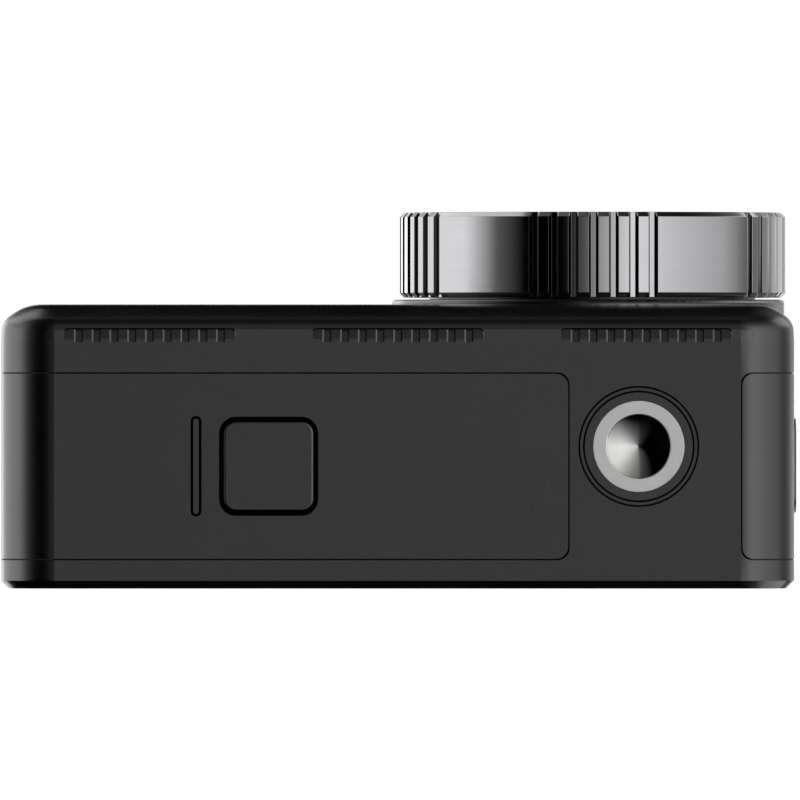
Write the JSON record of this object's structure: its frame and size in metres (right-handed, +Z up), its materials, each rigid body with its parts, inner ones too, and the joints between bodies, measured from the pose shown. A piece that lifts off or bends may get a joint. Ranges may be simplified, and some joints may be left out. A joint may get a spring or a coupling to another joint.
{
  "type": "action camera",
  "caption": "Compact action camera with a knurled removable lens guard, hinged battery and port doors, sprung buttons and a tripod thread underneath.",
  "frame": {"origin": "centre of the tripod thread's mouth, in the bottom face", "axes": "+X to the right seen from the lens side, -Y toward the lens side, +Z up"},
  "size_m": [0.0667, 0.0315, 0.0436],
  "materials": {
    "body_plastic": "fine moulded texture, near black",
    "trim_plastic": "smooth black",
    "ring_metal": "black anodised, turned",
    "screen_glass": "polished black glass over the screen",
    "display": "dark panel",
    "window_glass": "coated, clear",
    "lens_glass": "coated optical glass",
    "filter_glass": "infrared cut filter",
    "barrel_black": "black anodised, baffled",
    "insert_metal": "turned, bead blasted mouth",
    "steel": "turned",
    "tin_shield": "stamped and tinned",
    "spreader_metal": "bare",
    "board_green": "solder mask over glass epoxy",
    "silicon": "sensor die under cover glass",
    "seal_rubber": "soft silicone",
    "battery_wrap": "printed wrap, unmarked",
    "contact_block": "moulded block with sprung contacts",
    "card_plastic": "moulded card",
    "red_mark": "red inlay",
    "light_pipe": "milky light pipe",
    "spring_steel": "spring wire"
  },
  "bodies": {
    "camera": {"main_housing": "body_plastic", "front_cover": "body_plastic", "rear_bezel": "trim_plastic", "rear_glass": "screen_glass", "rear_display": "display", "front_glass": "screen_glass", "front_display": "display", "lens_plinth": "body_plastic", "lens_barrel": "barrel_black", "lens_element_1": "lens_glass", "lens_element_2": "lens_glass", "lens_element_3": "lens_glass", "lens_element_4": "lens_glass", "lens_retainer": "barrel_black", "lens_mount": "trim_plastic", "ir_filter": "filter_glass", "image_sensor": "silicon", "sensor_board": "board_green", "heat_spreader": "spreader_metal", "main_board": "board_green", "processor_shield": "tin_shield", "usb_socket": "steel", "card_socket": "tin_shield", "battery_cradle": "trim_plastic", "battery_contacts": "contact_block", "speaker": "trim_plastic", "microphones": "steel", "status_lights": "light_pipe", "button_board": "board_green", "shutter_switch": "steel", "power_switch": "board_green", "tripod_insert": "insert_metal", "tripod_ring": "body_plastic", "battery_door_pin": "steel", "port_door_pin": "steel", "case_screws": "steel", "board_screws": "steel", "button_seals": "seal_rubber", "antenna": "spreader_metal"},
    "battery_door": {"battery_door": "body_plastic", "battery_door_plate": "trim_plastic", "battery_door_seal": "seal_rubber", "battery_door_latch": "steel", "door_plate_screws": "steel"},
    "release_button": {"release_button": "body_plastic", "release_spring": "spring_steel"},
    "port_door": {"port_door": "body_plastic", "port_door_seal": "seal_rubber"},
    "guard_lock": {"guard_lock_ring": "steel"},
    "lens_guard": {"guard_ring": "ring_metal", "guard_window": "window_glass", "guard_seal": "seal_rubber"},
    "shutter_button": {"shutter_button": "body_plastic", "shutter_button_mark": "red_mark"},
    "power_button": {"power_button": "body_plastic"},
    "battery": {"battery": "battery_wrap"},
    "memory_card": {"memory_card": "card_plastic"}
  },
  "joints": [
    {"name": "battery_door_hinge", "type": "hinge", "parent": "camera", "child": "battery_door", "pos_m": [-0.0517, 0, 0.031], "axis": [0, 1, 0], "range_deg": [0, 90]},
    {"name": "release_press", "type": "slide", "parent": "battery_door", "child": "release_button", "axis": [0, 0, 1], "range_m": [0, 0.0006], "stiffness_N_per_m": 800, "springref_m": -0.0004, "deforming": ["release_spring"]},
    {"name": "port_door_hinge", "type": "hinge", "parent": "camera", "child": "port_door", "pos_m": [0.0115, 0, 0.0225], "axis": [0, -1, 0], "range_deg": [0, 90]},
    {"name": "guard_twist", "type": "hinge", "parent": "camera", "child": "guard_lock", "pos_m": [-0.00372, 0, 0.0255], "axis": [0, 1, 0], "range_deg": [0, 45]},
    {"name": "guard_pull", "type": "slide", "parent": "guard_lock", "child": "lens_guard", "axis": [0, -1, 0], "range_m": [0, 0.009]},
    {"name": "shutter_press", "type": "slide", "parent": "camera", "child": "shutter_button", "axis": [0, 0, -1], "range_m": [0, 0.0005], "stiffness_N_per_m": 1500, "springref_m": -0.0004},
    {"name": "power_press", "type": "slide", "parent": "camera", "child": "power_button", "axis": [-1, 0, 0], "range_m": [0, 0.0005], "stiffness_N_per_m": 1500, "springref_m": -0.0004},
    {"name": "battery_eject", "type": "slide", "parent": "camera", "child": "battery", "axis": [0, 0, -1], "range_m": [0, 0.005]},
    {"name": "card_eject", "type": "slide", "parent": "camera", "child": "memory_card", "axis": [0, 0, -1], "range_m": [0, 0.003]}
  ],
  "couplings": [
    {"joint": "battery_eject", "follows": "battery_door_hinge", "m_per_rad": 0.003},
    {"joint": "card_eject", "follows": "battery_door_hinge", "m_per_rad": 0.0017}
  ]
}
